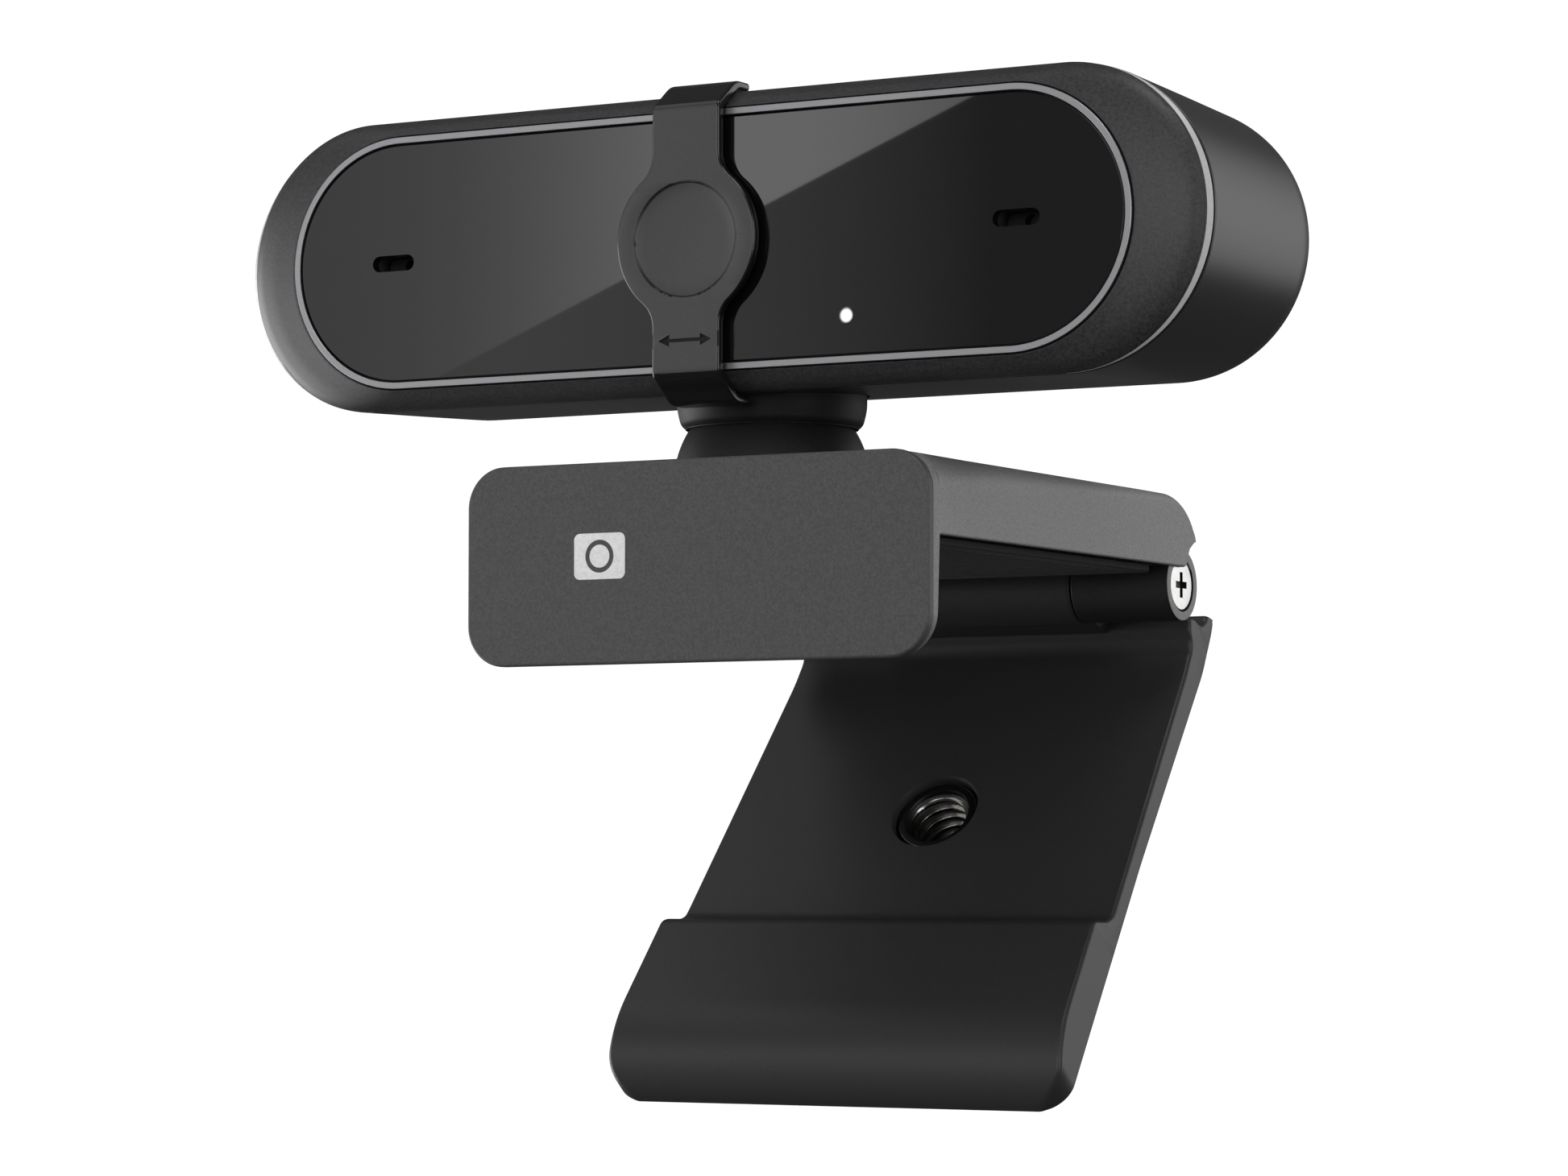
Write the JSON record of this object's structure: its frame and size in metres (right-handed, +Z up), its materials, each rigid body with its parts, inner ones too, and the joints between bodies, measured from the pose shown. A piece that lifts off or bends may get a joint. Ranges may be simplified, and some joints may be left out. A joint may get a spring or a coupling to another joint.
{
  "type": "webcam on monitor clip",
  "caption": "Wide webcam with sliding privacy cover on a ball joint, over a folding monitor clip whose leg holds a tripod socket.",
  "frame": {"origin": "middle of the clip's rubber face that rests on a monitor's top edge", "axes": "+Z up, +X to the right seen from in front of the camera, -Y the way the camera looks"},
  "size_m": [0.1004, 0.0667, 0.0935],
  "materials": {
    "satin_black": "satin moulded ABS, near black",
    "grainy_black": "fine grained moulded plastic, dark grey",
    "plate_grey": "fine speckled charcoal paint",
    "cover_black": "smooth matt plastic",
    "silver_trim": "satin silver ring",
    "black_glass": "polished, printed black behind",
    "rubber": "matt",
    "steel": "zinc plated",
    "nickel": "nickel plated brass, cut thread",
    "circuit_board": "solder mask over glass fibre",
    "lens_glass": "coated optical glass",
    "dark_metal": "blackened",
    "white_plastic": "white",
    "clear_plastic": "polished light guide"
  },
  "bodies": {
    "clip": {"arm_shell": "grainy_black", "front_plate": "plate_grey", "arm_cover": "satin_black", "arm_cover_screw_1": "steel", "arm_cover_screw_2": "steel", "arm_cover_screw_3": "steel", "arm_cover_screw_4": "steel", "rest_pad": "rubber", "jaw_pad": "rubber", "hinge_pin": "steel", "hinge_screw_left": "steel", "hinge_screw_right": "steel", "hinge_washer_left": "steel", "hinge_washer_right": "steel", "ball_dome": "grainy_black", "dome_screw_left": "steel", "dome_screw_right": "steel"},
    "leg": {"leg": "satin_black", "threaded_insert": "nickel"},
    "pan_ring": {"pan_guide": "dark_metal"},
    "tilt_ring": {"tilt_guide": "dark_metal"},
    "camera": {"rear_shell": "satin_black", "lens_holder": "satin_black", "neck_cup": "grainy_black", "front_bezel": "grainy_black", "trim_ring": "silver_trim", "front_glass": "black_glass", "cable_gland": "rubber", "mic_boot_left": "rubber", "mic_boot_right": "rubber", "pivot_stud": "steel", "clamp_spring": "steel", "stud_nut": "steel", "board_screw_1": "steel", "board_screw_2": "steel", "board_screw_3": "steel", "board_screw_4": "steel", "shell_screw_1": "steel", "shell_screw_2": "steel", "shell_screw_3": "steel", "shell_screw_4": "steel", "main_board": "circuit_board", "front_lens_element": "lens_glass", "rear_lens_element": "lens_glass", "clamp_washer": "dark_metal", "lens_barrel": "dark_metal", "image_sensor": "dark_metal", "image_processor": "dark_metal", "mic_capsule_left": "dark_metal", "mic_capsule_right": "dark_metal", "cable_header": "white_plastic", "status_led": "white_plastic", "light_pipe": "clear_plastic"},
    "cover": {"privacy_cover": "cover_black"}
  },
  "joints": [
    {"name": "leg_hinge", "type": "hinge", "parent": "clip", "child": "leg", "pos_m": [0, 0.02794, -0.00098], "axis": [1, 0, 0], "range_deg": [-40, 85]},
    {"name": "ball_pan", "type": "hinge", "parent": "clip", "child": "pan_ring", "pos_m": [0, -0.01181, 0.00704], "axis": [0, 0, 1], "range_deg": [-180, 180]},
    {"name": "ball_tilt", "type": "hinge", "parent": "pan_ring", "child": "tilt_ring", "pos_m": [0, -0.01181, 0.00704], "axis": [1, 0, 0], "range_deg": [-20, 10]},
    {"name": "ball_roll", "type": "hinge", "parent": "tilt_ring", "child": "camera", "pos_m": [0, -0.01181, 0.00704], "axis": [0, 1, 0], "range_deg": [-7, 7]},
    {"name": "cover_slide", "type": "slide", "parent": "camera", "child": "cover", "axis": [1, 0, 0], "range_m": [-0.025, 0.025]}
  ]
}
